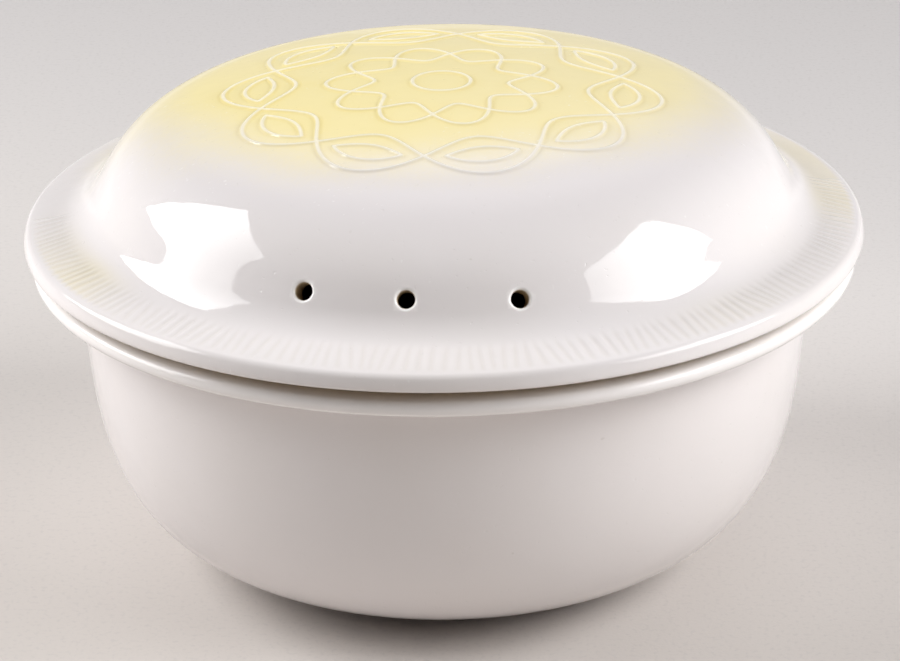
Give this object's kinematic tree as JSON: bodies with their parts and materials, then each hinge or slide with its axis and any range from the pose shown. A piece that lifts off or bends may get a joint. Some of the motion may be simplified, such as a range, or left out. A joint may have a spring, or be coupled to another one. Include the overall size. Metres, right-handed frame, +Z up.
{
  "type": "individual casserole with lid",
  "caption": "Round glazed porcelain casserole with a turned-out lip and a loose domed lid that has a wide ribbed brim, steam holes and a pale yellow crown with raised line ornament",
  "frame": {"origin": "on the table, at the middle of the foot ring under the bowl", "axes": "+Z up along the axis that bowl and lid are turned about and the lid lifts along, -Y the front, where the middle steam hole is, +X to the right as seen from the front"},
  "size_m": [0.18, 0.18, 0.1053],
  "materials": {
    "bowl_glaze": "gloss",
    "lid_glaze": "gloss"
  },
  "bodies": {
    "bowl": {"bowl": "bowl_glaze"},
    "lid": {"lid": "lid_glaze"}
  },
  "joints": [
    {"name": "lid_lift", "type": "slide", "parent": "bowl", "child": "lid", "axis": [0, 0, 1], "range_m": [0, 0.1]}
  ]
}
